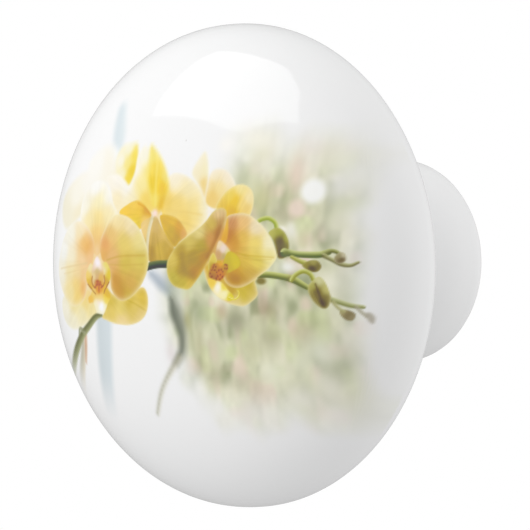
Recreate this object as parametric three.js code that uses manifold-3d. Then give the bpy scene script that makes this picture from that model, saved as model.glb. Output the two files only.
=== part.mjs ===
// A glazed ceramic drawer knob: a mushroom-shaped body, and the tapped brass bush that is cemented into
// its foot.
//
// Millimetres, +Z up. The origin is the centre of the plane that the foot seats on. The knob's axis is Y:
// its domed face looks along -Y, and the drawer front that it is screwed to lies on the +Y side.
import * as THREE from "three";
import { mergeVertices } from "three/addons/utils/BufferGeometryUtils.js";
import Module from "manifold-3d";

const wasm = await Module();
wasm.setup();

// ---- Driving dimensions ----

// The ceramic body, from its face back to its foot.
const HEAD_DIAMETER = 38; // at the rim
const PROJECTION = 28.4; // from the seating plane to the top of the dome
const DOME_HEIGHT = 8.3; // from the rim's plane to the top of the dome
const DOME_FULLNESS = 2.3; // exponent of the dome's outline: 2 is an ellipse, more is a fuller shoulder
const RIM_ROUND = 2.4; // radius where the rim turns under
const RIM_TURN = 72; // degrees that the rim's round goes through before it meets the underside
const NECK_DIAMETER = 13.6; // at its waist
const NECK_FROM_SEAT = 9.2; // distance of the waist from the seating plane
const FOOT_DIAMETER = 16.6;
const FOOT_ROUND = 1.2; // radius of the foot's outer edge
const FOOT_COLLAR = 0.5; // straight land above that radius

// The hole that the foot is pressed with: a shallow recess, the bush's pocket, and room for the end of a
// long screw.
const RECESS_LEDGE = 0.88; // width of the recess's floor round the pocket
const RECESS_DEPTH = 0.5;
const SCREW_ROOM_CLEARANCE = 1; // between the room's wall and the thread's major diameter
const SCREW_ROOM_LENGTH = 7;

// The bush. Its thread is ISO metric M4 x 0.7.
const THREAD_DIAMETER = 4;
const THREAD_PITCH = 0.7;
const THREAD_LEAD_IN = 0.25; // how far each mouth's countersink is wider than the thread, on the radius
const BUSH_WALL = 1; // from the thread's major diameter to the knurl's crests
const BUSH_LENGTH = 12;
const BUSH_CHAMFER = 0.2; // leaves a flat land between it and the mouth's countersink
const KNURL_TEETH = 24;
const KNURL_DEPTH = 0.3;
const KNURL_EDGE = 1; // plain length between a knurled band and the end of the bush
const KNURL_GROOVE = 1.6; // plain length between the two bands
const PLAIN_DEPTH = 0.4; // how far the plain lengths lie below the knurl's crests

// The cement ring between the bush and its pocket.
const CEMENT_WALL = 0.8;
const CEMENT_DIP = 0.25; // how far the cement's surface hollows between its two edges
const BED = 0.06; // space that is left between pieces that lie face to face

// ---- Facets ----

const BODY_AROUND = 64; // sides of the body
const CEMENT_AROUND = 48;
const BUSH_AROUND = 20; // sides of the bush's bore and of each turn of its thread
const DOME_STEPS = 18;
const CURVE_STEPS = 8;
const ROUND_STEPS = 6;

// ---- Values worked out from the driving dimensions ----

const headRadius = HEAD_DIAMETER / 2;
const rimY = DOME_HEIGHT - PROJECTION;
const footRadius = FOOT_DIAMETER / 2;
const neckRadius = NECK_DIAMETER / 2;
const threadMajorRadius = THREAD_DIAMETER / 2;
const bushRadius = threadMajorRadius + BUSH_WALL;
const pocketRadius = bushRadius + CEMENT_WALL + 2 * BED;
const recessRadius = pocketRadius + RECESS_LEDGE;
const screwRoomRadius = threadMajorRadius + SCREW_ROOM_CLEARANCE;
const bushBackY = -RECESS_DEPTH; // the bush's open end is level with the recess's floor
const bushFrontY = bushBackY - BUSH_LENGTH;
const pocketEndY = bushFrontY - BED;
const holeEndY = pocketEndY - SCREW_ROOM_LENGTH;

// An ISO thread's sharp triangle is this high. An internal thread keeps 5/8 of it.
const threadTriangle = (THREAD_PITCH * Math.sqrt(3)) / 2;
const threadMinorRadius = threadMajorRadius - (5 / 8) * threadTriangle;

// ---- Shapes ----

const point = (radius, y) => new THREE.Vector2(radius, y);

// Points of a round in the (radius, y) plane about a centre, from one angle to another in degrees.
function arc(centre, radius, from, to, steps = ROUND_STEPS) {
  return Array.from({ length: steps + 1 }, (_, i) => {
    const angle = THREE.MathUtils.degToRad(from + ((to - from) * i) / steps);
    return point(centre.x + radius * Math.cos(angle), centre.y + radius * Math.sin(angle));
  });
}

// The dome's outline is a quarter of a superellipse, from its top on the axis out to the rim.
function domeOutline() {
  const power = 2 / DOME_FULLNESS;
  return Array.from({ length: DOME_STEPS }, (_, i) => {
    const t = (i / DOME_STEPS) * (Math.PI / 2);
    return point(headRadius * Math.sin(t) ** power, rimY - DOME_HEIGHT * Math.cos(t) ** power);
  });
}

// The body's outline: over the dome, round the rim, down the neck to the foot, and back up the hole to
// the axis.
function bodyOutline() {
  const rim = arc(point(headRadius - RIM_ROUND, rimY), RIM_ROUND, 0, RIM_TURN);
  const rimEnd = rim.at(-1);
  const waist = point(neckRadius, -NECK_FROM_SEAT);
  const collar = point(footRadius, -FOOT_ROUND - FOOT_COLLAR);

  // The underside leaves the rim along its round's tangent and meets the waist running straight back.
  const underDepth = waist.y - rimEnd.y;
  const lean = THREE.MathUtils.degToRad(RIM_TURN);
  const along = (rimEnd.x - waist.x) / 2;
  const underside = new THREE.CubicBezierCurve(
    rimEnd,
    point(rimEnd.x - along * Math.sin(lean), rimEnd.y + along * Math.cos(lean)),
    point(waist.x, waist.y - underDepth * 0.75),
    waist,
  );
  // The neck widens from the waist to the foot's collar.
  const flare = (collar.y - waist.y) / 2;
  const neck = new THREE.CubicBezierCurve(
    waist,
    point(waist.x, waist.y + flare),
    point(collar.x, collar.y - flare),
    collar,
  );
  return [
    ...domeOutline(),
    ...rim,
    ...underside.getPoints(CURVE_STEPS).slice(1),
    ...neck.getPoints(CURVE_STEPS).slice(1),
    ...arc(point(footRadius - FOOT_ROUND, -FOOT_ROUND), FOOT_ROUND, 0, 90),
    point(recessRadius, 0),
    point(recessRadius, -RECESS_DEPTH),
    point(pocketRadius, -RECESS_DEPTH),
    point(pocketRadius, pocketEndY),
    point(screwRoomRadius, pocketEndY),
    point(screwRoomRadius, holeEndY),
    point(0, holeEndY),
  ];
}

// The cement's outline is a ring as long as the bush, with a hollowed surface at the recess.
function cementOutline() {
  const inner = bushRadius + BED;
  const outer = pocketRadius - BED;
  const surface = Array.from({ length: ROUND_STEPS + 1 }, (_, i) => {
    const share = i / ROUND_STEPS;
    return point(outer + (inner - outer) * share, bushBackY - BED - CEMENT_DIP * Math.sin(Math.PI * share));
  });
  return [point(inner, bushFrontY), point(outer, bushFrontY), ...surface, point(inner, bushFrontY)];
}

// ---- The bush, cut and joined as solids ----

function solidOf(geometry) {
  const bare = geometry.index ? geometry.toNonIndexed() : geometry.clone();
  bare.deleteAttribute("normal");
  bare.deleteAttribute("uv");
  const merged = mergeVertices(bare, 1e-4);
  const mesh = new wasm.Mesh({
    numProp: 3,
    vertProperties: merged.attributes.position.array,
    triVerts: new Uint32Array(merged.index.array),
  });
  return new wasm.Manifold(mesh);
}

function geometryOf(solid) {
  const mesh = solid.getMesh();
  const geometry = new THREE.BufferGeometry();
  geometry.setAttribute("position", new THREE.BufferAttribute(mesh.vertProperties, 3));
  geometry.setIndex(new THREE.BufferAttribute(mesh.triVerts, 1));
  geometry.computeVertexNormals();
  return geometry;
}

// One band of straight knurling, as a toothed wheel about the Y axis that starts at y.
function knurledBand(y, length) {
  const wheel = new THREE.Shape();
  for (let i = 0; i < KNURL_TEETH * 2; i += 1) {
    const angle = (i / KNURL_TEETH) * Math.PI;
    const radius = i % 2 ? bushRadius - KNURL_DEPTH : bushRadius;
    wheel[i ? "lineTo" : "moveTo"](radius * Math.cos(angle), radius * Math.sin(angle));
  }
  wheel.closePath();
  const band = new THREE.ExtrudeGeometry(wheel, { depth: length, bevelEnabled: false });
  band.rotateX(-Math.PI / 2);
  band.translate(0, y, 0);
  return band;
}

// The tool that cuts the bush's hole: a right-hand thread that opens into a countersink at each mouth. Its
// surface is a grid whose rows follow the thread's helix, so that a row which has gone once round meets the
// same row a turn further on.
function threadedPlug() {
  const past = 0.5; // it runs past both ends of the bush by this much
  const startY = bushFrontY - past;
  const endY = bushBackY + past;
  const mouth = threadMajorRadius + THREAD_LEAD_IN;
  // The corners of one pitch of the thread: its share of the pitch, and its radius.
  const corners = [
    [0, threadMinorRadius],
    [1 / 4, threadMinorRadius],
    [9 / 16, threadMajorRadius],
    [11 / 16, threadMajorRadius],
  ];
  const rows = corners.length * (Math.ceil((endY - startY) / THREAD_PITCH) + 1);
  const places = [];
  const known = new Map();

  function index(column, radius, y) {
    const side = column % BUSH_AROUND;
    const key = `${side} ${radius.toFixed(6)} ${y.toFixed(6)}`;
    if (!known.has(key)) {
      const angle = (side / BUSH_AROUND) * 2 * Math.PI;
      known.set(key, places.length / 3);
      places.push(radius * Math.cos(angle), y, -radius * Math.sin(angle));
    }
    return known.get(key);
  }

  function onHelix(column, row) {
    const [share, threadRadius] = corners[row % corners.length];
    const turns = Math.floor(row / corners.length) - 1 + share + column / BUSH_AROUND;
    const y = THREE.MathUtils.clamp(startY + turns * THREAD_PITCH, startY, endY);
    const cone = mouth + Math.max(bushFrontY - y, y - bushBackY);
    return index(column, Math.max(threadRadius, cone), y);
  }

  const faces = [];
  function face(a, b, c) {
    if (a !== b && b !== c && c !== a) faces.push(a, b, c);
  }
  const startAxis = index(0, 0, startY);
  const endAxis = index(0, 0, endY);
  for (let i = 0; i < BUSH_AROUND; i += 1) {
    for (let j = 0; j < rows; j += 1) {
      face(onHelix(i, j), onHelix(i + 1, j), onHelix(i, j + 1));
      face(onHelix(i + 1, j), onHelix(i + 1, j + 1), onHelix(i, j + 1));
    }
    face(startAxis, onHelix(i + 1, 0), onHelix(i, 0));
    face(endAxis, onHelix(i, rows), onHelix(i + 1, rows));
  }
  const geometry = new THREE.BufferGeometry();
  geometry.setAttribute("position", new THREE.Float32BufferAttribute(places, 3));
  geometry.setIndex(faces);
  return geometry;
}

// The bush: a chamfered core with two knurled bands, and the tapped hole right through it.
function bushGeometry() {
  const core = bushRadius - PLAIN_DEPTH;
  const blank = new THREE.LatheGeometry(
    [
      point(0, bushFrontY),
      point(core - BUSH_CHAMFER, bushFrontY),
      point(core, bushFrontY + BUSH_CHAMFER),
      point(core, bushBackY - BUSH_CHAMFER),
      point(core - BUSH_CHAMFER, bushBackY),
      point(0, bushBackY),
    ],
    KNURL_TEETH * 2,
  );
  const band = (BUSH_LENGTH - KNURL_GROOVE) / 2 - KNURL_EDGE;
  return geometryOf(
    solidOf(blank)
      .add(solidOf(knurledBand(bushFrontY + KNURL_EDGE, band)))
      .add(solidOf(knurledBand(bushBackY - KNURL_EDGE - band, band)))
      .subtract(solidOf(threadedPlug())),
  );
}

// ---- Materials ----

const glazedCeramic = new THREE.MeshStandardMaterial({ color: 0xf1f1ef, roughness: 0.08, metalness: 0 });
const brass = new THREE.MeshStandardMaterial({ color: 0xc9a45a, roughness: 0.35, metalness: 1 });
const cement = new THREE.MeshStandardMaterial({ color: 0xcfcabf, roughness: 0.9, metalness: 0 });

// ---- The knob ----

function piece(name, geometry, material) {
  const mesh = new THREE.Mesh(geometry, material);
  mesh.name = name;
  return mesh;
}

const knob = new THREE.Group();
knob.name = "drawer_knob";
knob.add(
  piece("knob_body", new THREE.LatheGeometry(bodyOutline(), BODY_AROUND), glazedCeramic),
  piece("threaded_bush", bushGeometry(), brass),
  piece("bush_cement", new THREE.LatheGeometry(cementOutline(), CEMENT_AROUND), cement),
);

export default knob;
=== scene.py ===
"""A glazed ceramic drawer knob with a spray of yellow moth orchids on its face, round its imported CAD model."""

import math

import bpy
import numpy as np
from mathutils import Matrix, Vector


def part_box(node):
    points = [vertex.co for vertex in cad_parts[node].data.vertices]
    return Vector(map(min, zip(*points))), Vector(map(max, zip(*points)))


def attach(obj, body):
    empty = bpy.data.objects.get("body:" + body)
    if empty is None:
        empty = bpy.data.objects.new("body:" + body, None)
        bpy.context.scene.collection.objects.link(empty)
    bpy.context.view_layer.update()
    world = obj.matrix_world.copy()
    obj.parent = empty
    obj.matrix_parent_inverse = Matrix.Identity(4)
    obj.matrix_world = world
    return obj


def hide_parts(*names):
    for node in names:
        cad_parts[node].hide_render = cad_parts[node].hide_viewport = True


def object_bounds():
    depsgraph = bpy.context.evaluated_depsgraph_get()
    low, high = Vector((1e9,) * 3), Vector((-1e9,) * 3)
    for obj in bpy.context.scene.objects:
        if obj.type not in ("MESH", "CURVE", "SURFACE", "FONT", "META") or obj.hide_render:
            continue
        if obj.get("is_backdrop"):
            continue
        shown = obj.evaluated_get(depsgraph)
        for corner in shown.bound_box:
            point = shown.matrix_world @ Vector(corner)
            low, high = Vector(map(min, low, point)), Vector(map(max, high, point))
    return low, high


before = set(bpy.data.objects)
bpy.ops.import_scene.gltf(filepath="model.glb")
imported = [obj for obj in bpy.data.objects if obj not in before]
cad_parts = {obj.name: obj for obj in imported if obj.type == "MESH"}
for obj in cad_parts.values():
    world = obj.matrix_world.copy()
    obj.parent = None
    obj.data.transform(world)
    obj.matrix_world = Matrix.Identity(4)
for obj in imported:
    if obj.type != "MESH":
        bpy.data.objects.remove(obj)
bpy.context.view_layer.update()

# ---- Camera ----
# The knob is looked at from a little above its axis, round from the front of its face towards its right side,
# through a long lens.
MM = 0.001
camera_azimuth = math.radians(42.66)  # from straight in front of the face
camera_elevation = math.radians(1.614)
camera_distance = 300.59 * MM
aim_aside = -2.31 * MM  # the middle of the view, from the middle of the knob
aim_above = -0.087 * MM
knob_low, knob_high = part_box("knob_body")
knob_middle = (knob_low + knob_high) / 2
camera_back = Vector(
    (
        math.sin(camera_azimuth) * math.cos(camera_elevation),
        -math.cos(camera_azimuth) * math.cos(camera_elevation),
        math.sin(camera_elevation),
    )
)
camera_right = Vector((math.cos(camera_azimuth), math.sin(camera_azimuth), 0))
camera_up = camera_back.cross(camera_right)
camera = bpy.data.objects.new("camera", bpy.data.cameras.new("camera"))
camera.data.sensor_width = 36
camera.data.lens = 255.83
camera.data.clip_start = 0.01
camera.location = (
    knob_middle + camera_right * aim_aside + camera_up * aim_above + camera_back * camera_distance
)
camera.rotation_euler = camera_back.to_track_quat("Z", "Y").to_euler()
bpy.context.scene.collection.objects.link(camera)
bpy.context.scene.camera = camera

# ---- Studio ----
# A white sweep a little way under the knob, and a six-sided softbox above and to the left of its face. Round them
# is a pale room that is brighter in front, on the left, overhead and behind on the right.
scene = bpy.context.scene
scene.view_settings.view_transform = "Standard"
floor_drop = 60 * MM  # from the knob's lowest point
floor_radius = 1.6
floor_sides = 96
floor_fade = (0.08, 0.42)  # where it starts to melt into white, and where it has
softbox_azimuth = -40
softbox_elevation = 42
softbox_distance = 0.6
softbox_radiance = 2.5
# Its corners, right and up from its middle.
softbox_corners = [(-0.20, -0.20), (0.11, -0.185), (0.31, 0.04), (0.21, 0.24), (0.05, 0.33), (-0.22, 0.14)]
room_level = 0.36
# Each wash of light is an azimuth, an elevation and a strength.
room_washes = [(-15, -8, 0.77), (20, 75, 0.17), (135, 20, 0.77), (150, -25, 0.36), (-70, 20, 0.36)]
wash_focus = 3.0


def direction(azimuth, elevation):
    """The unit vector towards an azimuth round from straight in front of the face, and an elevation, in degrees."""
    a, e = math.radians(azimuth), math.radians(elevation)
    return Vector((math.sin(a) * math.cos(e), -math.cos(a) * math.cos(e), math.sin(e)))


softbox_way = direction(softbox_azimuth, softbox_elevation)
softbox_turn = math.radians(softbox_azimuth)
softbox_right = Vector((math.cos(softbox_turn), math.sin(softbox_turn), 0))
softbox_up = softbox_way.cross(softbox_right)
softbox_middle = knob_middle + softbox_way * softbox_distance
softbox_mesh = bpy.data.meshes.new("softbox")
corners = [softbox_middle + softbox_right * right + softbox_up * up for right, up in softbox_corners]
softbox_mesh.from_pydata(corners, [], [range(len(corners))])
softbox = bpy.data.objects.new("softbox", softbox_mesh)
scene.collection.objects.link(softbox)
softbox.visible_camera = False
softbox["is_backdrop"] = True

sweep_mesh = bpy.data.meshes.new("floor")
around = np.linspace(0, 2 * np.pi, floor_sides, endpoint=False)
rings = np.array([0.15, 0.4, 1.0]) * floor_radius
spokes = np.stack([np.cos(around), np.sin(around)], 1)
sweep_points = np.vstack([[[0, 0]], (rings[:, None, None] * spokes).reshape(-1, 2)])
sweep_points = np.column_stack([sweep_points, np.full(len(sweep_points), knob_low.z - floor_drop)])
k, k_next = np.arange(floor_sides), (np.arange(floor_sides) + 1) % floor_sides
fan = np.stack([0 * k, 1 + k, 1 + k_next], 1).tolist()
strips = []
for inner in (1, 1 + floor_sides):  # the first point of each ring that has one outside it
    outer = inner + floor_sides
    strips += np.stack([inner + k, outer + k, outer + k_next, inner + k_next], 1).tolist()
sweep_mesh.from_pydata(sweep_points.tolist(), [], fan + strips)
floor = bpy.data.objects.new("floor", sweep_mesh)
scene.collection.objects.link(floor)
floor.visible_diffuse = False
floor.visible_glossy = False
floor.visible_shadow = False
floor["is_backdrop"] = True


def new_material(name):
    """An empty node material, and its node tree."""
    material = bpy.data.materials.new(name)
    material.use_nodes = True
    material.node_tree.nodes.clear()
    return material, material.node_tree


def fill(tree, socket, value):
    """Gives a socket its value, or links it if the value is another node's output."""
    if isinstance(value, bpy.types.NodeSocket):
        tree.links.new(value, socket)
    else:
        socket.default_value = value


def node(tree, kind, *values, **settings):
    """A new node of that kind. A setting is the node's own, or fills the socket of that name, with _ for a space.
    The values fill its first sockets in order."""
    made = tree.nodes.new("ShaderNode" + kind)
    for name, value in settings.items():
        if hasattr(made, name):
            setattr(made, name, value)
        else:
            fill(tree, made.inputs[name.replace("_", " ")], value)
    for socket, value in zip(made.inputs, values):
        fill(tree, socket, value)
    return made


def maths(tree, operation, *values):
    """The output of a Math node."""
    return node(tree, "Math", *values, operation=operation).outputs["Value"]


def ranged(tree, source, low, high, to_low=0.0, to_high=1.0, way="LINEAR"):
    """The output of a Map Range node, from low..high to to_low..to_high."""
    limits = {"From_Min": low, "From_Max": high, "To_Min": to_low, "To_Max": to_high}
    return node(tree, "MapRange", interpolation_type=way, Value=source, **limits).outputs["Result"]


def blended(tree, amount, first, second, kind="RGBA"):
    """The output of a Mix node, from first to second by an amount; each is a socket or a value."""
    first_in, second_in, out = {"RGBA": (6, 7, 2), "FLOAT": (2, 3, 0)}[kind]
    made = node(tree, "Mix", data_type=kind, Factor=amount)
    fill(tree, made.inputs[first_in], first)
    fill(tree, made.inputs[second_in], second)
    return made.outputs[out]


sweep, tree = new_material("white sweep")
reach = node(tree, "VectorMath", node(tree, "TexCoord").outputs["Object"], operation="LENGTH").outputs["Value"]
paper = node(tree, "BsdfDiffuse", Color=(0.95, 0.95, 0.95, 1)).outputs["BSDF"]
haze = node(tree, "Emission", Color=(1, 1, 1, 1), Strength=1.0).outputs["Emission"]
melted = node(tree, "MixShader", ranged(tree, reach, *floor_fade, way="SMOOTHSTEP"), paper, haze)
node(tree, "OutputMaterial", Surface=melted.outputs["Shader"])
sweep_mesh.materials.append(sweep)

lit_cloth, tree = new_material("softbox cloth")
lamp = node(tree, "Emission", Color=(1, 1, 1, 1), Strength=softbox_radiance)
node(tree, "OutputMaterial", Surface=lamp.outputs["Emission"])
softbox_mesh.materials.append(lit_cloth)

room = bpy.data.worlds.new("pale room")
room.use_nodes = True
tree = room.node_tree
tree.nodes.clear()
way = node(tree, "TexCoord").outputs["Generated"]
total = room_level
for azimuth, elevation, strength in room_washes:  # each adds strength * exp(focus * (cos of the angle to it - 1))
    facing = node(tree, "VectorMath", way, direction(azimuth, elevation), operation="DOT_PRODUCT").outputs["Value"]
    wash = maths(tree, "EXPONENT", maths(tree, "MULTIPLY_ADD", facing, wash_focus, -wash_focus))
    total = maths(tree, "MULTIPLY_ADD", wash, strength, total)
level = blended(tree, node(tree, "LightPath").outputs["Is Camera Ray"], total, 1.0, "FLOAT")
glow = node(tree, "Background", Color=(1, 1, 1, 1), Strength=level)
node(tree, "OutputWorld", Surface=glow.outputs["Background"])
scene.world = room

# ---- Glazed body ----
# A one-piece mushroom of white porcelain, cast, bisque fired, glazed all over but for the ring that its foot
# stands on, and fired again. The orchid spray on its domed face is a transfer fired into the glaze.
HEAD_RADIUS = knob_high.x / MM  # these sizes are in millimetres
FRONT_Y = knob_low.y / MM
DOME_HEIGHT = 8.3
DOME_FULLNESS = 2.3
RIM_ROUND = 2.4
RIM_TURN = math.radians(72)
NECK_RADIUS = 6.8
NECK_FROM_SEAT = 9.2
FOOT_RADIUS = 8.3
FOOT_ROUND = 1.2
FOOT_COLLAR = 0.5
RECESS_RADIUS = 4.8
RECESS_DEPTH = 0.5
POCKET_RADIUS = 3.92
POCKET_END = 12.56
SCREW_ROOM_RADIUS = 3.0
SCREW_ROOM_END = 19.56
RIM_Y = FRONT_Y + DOME_HEIGHT
FACE_RADIUS = 17.6  # the part of the dome that the face's grid covers
FACE_COLUMNS = 368
FACE_ROWS = 208


def dome_y(r):
    """The dome's outline, a superellipse: RIM_Y minus its height times (1 - (r / R)^n)^(1 / n)."""
    return RIM_Y - DOME_HEIGHT * (1 - np.clip(r / HEAD_RADIUS, 0, 1) ** DOME_FULLNESS) ** (1 / DOME_FULLNESS)


def arc(centre, radius, start, end, steps):
    """Points along a circle about centre, from start to end in radians, as (r, y)."""
    turn = np.linspace(start, end, steps + 1)
    return np.stack([centre[0] + radius * np.cos(turn), centre[1] + radius * np.sin(turn)], 1)


def bezier(points, steps):
    """A cubic Bezier curve: the four points weighed by (1-t)^3, 3t(1-t)^2, 3t^2(1-t) and t^3."""
    t = np.linspace(0, 1, steps + 1)[:, None]
    a, b, c, d = np.array(points, float)
    return a * (1 - t) ** 3 + b * 3 * t * (1 - t) ** 2 + c * 3 * t**2 * (1 - t) + d * t**3


def ease(low, high, value):
    """0 below low, 1 above high and 3t^2 - 2t^3 between them."""
    t = np.clip((value - low) / (high - low), 0, 1)
    return t * t * (3 - 2 * t)


# The outline from the face's edge round the rim, down the neck to the foot and up the hole to the axis.
dome_turn = np.linspace(math.asin((FACE_RADIUS / HEAD_RADIUS) ** (DOME_FULLNESS / 2)), np.pi / 2, 13)
dome_edge = np.stack(
    [
        HEAD_RADIUS * np.sin(dome_turn) ** (2 / DOME_FULLNESS),
        RIM_Y - DOME_HEIGHT * np.clip(np.cos(dome_turn), 0, 1) ** (2 / DOME_FULLNESS),
    ],
    1,
)
rim = arc((HEAD_RADIUS - RIM_ROUND, RIM_Y), RIM_ROUND, 0, RIM_TURN, 12)
rim_r, rim_y = rim[-1]
handle = (rim_r - NECK_RADIUS) / 2  # the underside's curve leaves the rim square to it, for half its width
depth = -NECK_FROM_SEAT - rim_y  # and comes into the neck for three quarters of its depth
underside = bezier(
    [
        (rim_r, rim_y),
        (rim_r - handle * math.sin(RIM_TURN), rim_y + handle * math.cos(RIM_TURN)),
        (NECK_RADIUS, -NECK_FROM_SEAT - 0.75 * depth),
        (NECK_RADIUS, -NECK_FROM_SEAT),
    ],
    14,
)
collar_y = -FOOT_ROUND - FOOT_COLLAR
half_neck = (NECK_FROM_SEAT + collar_y) / 2
neck = bezier(
    [
        (NECK_RADIUS, -NECK_FROM_SEAT),
        (NECK_RADIUS, -NECK_FROM_SEAT + half_neck),
        (FOOT_RADIUS, collar_y - half_neck),
        (FOOT_RADIUS, collar_y),
    ],
    8,
)
foot = arc((FOOT_RADIUS - FOOT_ROUND, -FOOT_ROUND), FOOT_ROUND, 0, np.pi / 2, 7)
hole = [
    (FOOT_RADIUS - FOOT_ROUND, 0, 0),  # each corner's radius and y, and the steps that lead to it
    (RECESS_RADIUS, 0, 3),
    (RECESS_RADIUS, -RECESS_DEPTH, 1),
    (POCKET_RADIUS, -RECESS_DEPTH, 1),
    (POCKET_RADIUS, -POCKET_END, 2),
    (SCREW_ROOM_RADIUS, -POCKET_END, 1),
    (SCREW_ROOM_RADIUS, -SCREW_ROOM_END, 2),
]
outline = [dome_edge, rim[1:], underside[1:], neck[1:], foot]
for (start_r, start_y, _), (end_r, end_y, steps) in zip(hole, hole[1:]):
    outline.append(np.linspace((start_r, start_y), (end_r, end_y), steps + 1)[1:])
outline = np.concatenate(outline)


def spread(count, middle, width, crowd):
    """Count steps from -1 to 1, closer together by the factor 1 + crowd where the picture has its detail."""
    fine = np.linspace(-1, 1, 4001)
    density = 1 + crowd * np.exp(-(((fine * FACE_RADIUS - middle) / width) ** 4))
    run = np.concatenate([[0], np.cumsum((density[1:] + density[:-1]) / 2)])
    return np.interp(np.linspace(0, run[-1], count + 1), run, fine)


# The face is a square grid drawn out to a disc: x = u sqrt(1 - v^2 / 2), z = v sqrt(1 - u^2 / 2).
u, v = np.meshgrid(spread(FACE_COLUMNS, 0.6, 16.4, 0.6), spread(FACE_ROWS, 1, 7.2, 3.4))
face_x = FACE_RADIUS * u * np.sqrt(1 - v**2 / 2)
face_z = FACE_RADIUS * v * np.sqrt(1 - u**2 / 2)
face = np.stack([face_x, dome_y(np.hypot(face_x, face_z)), face_z], -1).reshape(-1, 3)
ids = np.arange(len(face)).reshape(FACE_ROWS + 1, FACE_COLUMNS + 1)
FACE_SHARE = 0.8  # of the flat map that its colours are baked to
face_quads = np.stack([ids[:-1, :-1], ids[:-1, 1:], ids[1:, 1:], ids[1:, :-1]], -1).reshape(-1, 4)
map_u, map_v = np.meshgrid(np.linspace(0, 1, FACE_COLUMNS + 1), np.linspace(0, FACE_SHARE - 0.01, FACE_ROWS + 1))
face_map = np.stack([map_u.ravel(), map_v.ravel()], 1)

# Rings carry on from the grid's edge, thinned twice, with their angles evened out within each quarter.
edge_ids = np.concatenate([ids[0, :-1], ids[:-1, -1], ids[-1, :0:-1], ids[:0:-1, 0]])
edge_angle = np.unwrap(np.arctan2(face[edge_ids, 2], face[edge_ids, 0]))
quarter = [FACE_COLUMNS, FACE_ROWS] * 2
even_angle = np.interp(
    np.arange(len(edge_ids)), np.cumsum([0] + quarter), edge_angle[0] + np.arange(5) * np.pi / 2
)
run = np.concatenate([[0], np.cumsum(np.hypot(*np.diff(outline, axis=0).T))])
ring_v = FACE_SHARE + (1 - FACE_SHARE) * run / (run[-1] + SCREW_ROOM_RADIUS)
points, faces, maps = [face], face_quads.tolist(), [face_map[face_quads.ravel()]]


def mapped(*corners):
    """The flat map of a row of faces: each face's corners in turn, as u, v, u, v and so on."""
    return np.stack(corners, 1).reshape(-1, 2)


THINNING = (1, 1, 2, 4)  # each ring keeps every so many of the edge's points; the last of these goes on
EVEN_BY = 4  # the ring whose angles are all evened out
above, count = edge_ids, len(face)
for j in range(1, len(outline)):
    step = THINNING[min(j, 3)]
    angle = (edge_angle + (even_angle - edge_angle) * min(j / EVEN_BY, 1))[::step]
    r, y = outline[j]
    ring = np.stack([r * np.cos(angle), np.full(len(angle), y), r * np.sin(angle)], 1)
    below = count + np.arange(len(ring))
    n = len(ring)
    low_next, left = np.roll(below, -1), np.arange(n) / n
    right = left + 1 / n
    top_v, low_v = np.full(n, ring_v[j - 1]), np.full(n, ring_v[j])
    if len(above) == n:
        faces += np.stack([below, low_next, np.roll(above, -1), above], 1).tolist()
        maps.append(mapped(left, low_v, right, low_v, right, top_v, left, top_v))
    else:
        middle, far = above[1::2], np.roll(above[::2], -1)
        between = left + 0.5 / n
        faces += np.stack([below, middle, above[::2]], 1).tolist()
        maps.append(mapped(left, low_v, between, top_v, left, top_v))
        faces += np.stack([below, low_next, far, middle], 1).tolist()
        maps.append(mapped(left, low_v, right, low_v, right, top_v, between, top_v))
    points.append(ring)
    above, count = below, count + n
points.append([[0, -SCREW_ROOM_END, 0]])
faces += np.stack([np.full(n, count), np.roll(above, -1), above], 1).tolist()
maps.append(mapped(left + 0.5 / n, np.ones(n), right, low_v, left, low_v))
points = np.concatenate(points)


# The transfer is painted point by point over the face's grid. Its places are millimetres across and up the face
# from the knob's axis, and its colours are 0 to 255 red, green and blue.
def spline(knots, closed=False, steps=8):
    """A Catmull-Rom curve through the knots."""
    p = np.asarray(knots, float)
    if closed:
        p = np.vstack([p[-1:], p, p[:2]])
    else:
        p = np.vstack([2 * p[:1] - p[1:2], p, 2 * p[-1:] - p[-2:-1]])
    t = (np.arange(steps) / steps)[None, :, None]
    a, b, c, d = p[:-3, None], p[1:-2, None], p[2:-1, None], p[3:, None]
    curve = 0.5 * (
        2 * b + (c - a) * t + (2 * a - 5 * b + 4 * c - d) * t**2 + (3 * b - a - 3 * c + d) * t**3
    ).reshape(-1, p.shape[1])
    return curve if closed else np.vstack([curve, p[-2:-1]])


BLOCK = 20000  # points that are measured at a time


def nearest(x, z, line):
    """Each point's distance from a polyline, how far along it in segments, and its side, 1 on the left."""
    a, b = line[:-1], line[1:]
    way = b - a
    length = (way**2).sum(1) + 1e-12
    found = []
    for start in range(0, max(x.size, 1), BLOCK):
        px, pz = x[start : start + BLOCK, None], z[start : start + BLOCK, None]
        t = np.clip(((px - a[:, 0]) * way[:, 0] + (pz - a[:, 1]) * way[:, 1]) / length, 0, 1)
        off_x, off_z = px - a[:, 0] - t * way[:, 0], pz - a[:, 1] - t * way[:, 1]
        gap = off_x**2 + off_z**2
        k = gap.argmin(1)
        row = np.arange(k.size)
        side = np.sign(way[k, 0] * off_z[row, k] - way[k, 1] * off_x[row, k])
        found.append([np.sqrt(gap[row, k]), k + t[row, k], side])
    return np.concatenate(found, 1)


def inside(x, z, line):
    """True where a ray to the right crosses the closed outline an odd number of times."""
    a, b = line, np.roll(line, -1, 0)
    found = []
    for start in range(0, max(x.size, 1), BLOCK):
        px, pz = x[start : start + BLOCK, None], z[start : start + BLOCK, None]
        spans = (a[:, 1] > pz) != (b[:, 1] > pz)
        rise = np.where(b[:, 1] == a[:, 1], 1e-9, b[:, 1] - a[:, 1])
        crossing = a[:, 0] + (pz - a[:, 1]) * (b[:, 0] - a[:, 0]) / rise
        found.append((spans & (px < crossing)).sum(1) % 2 == 1)
    return np.concatenate(found)


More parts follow.
